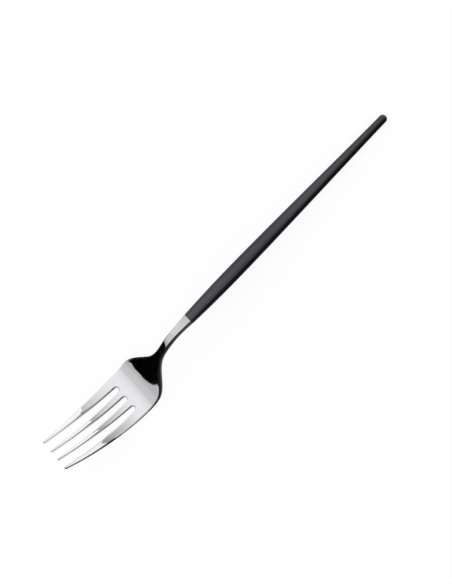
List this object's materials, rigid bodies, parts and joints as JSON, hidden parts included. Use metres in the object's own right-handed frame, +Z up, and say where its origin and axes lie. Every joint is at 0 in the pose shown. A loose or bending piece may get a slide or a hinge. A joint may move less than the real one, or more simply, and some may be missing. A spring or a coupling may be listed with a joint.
{
  "type": "dinner fork",
  "caption": "Dinner fork: a forged steel head with curved tapering tines on a dished bowl and slim neck, fixed by a hidden tang in a straight, slender moulded handle with a rounded end.",
  "frame": {"origin": "on the table under the middle of the fork's bounding box, with the fork lying at rest on the back of its bowl and the end of its handle", "axes": "+X along the fork from the handle's end to the tips of the tines, +Z up with the tines curving up, +Y across the tines"},
  "size_m": [0.215, 0.0254, 0.0179],
  "materials": {
    "polished_steel": "mirror polished stainless steel",
    "black_resin": "satin black moulded resin",
    "cement": "cured two-part epoxy, hidden inside the handle"
  },
  "bodies": {
    "root": {"fork_head": "polished_steel", "handle": "black_resin", "tang_cement": "cement"}
  },
  "joints": []
}
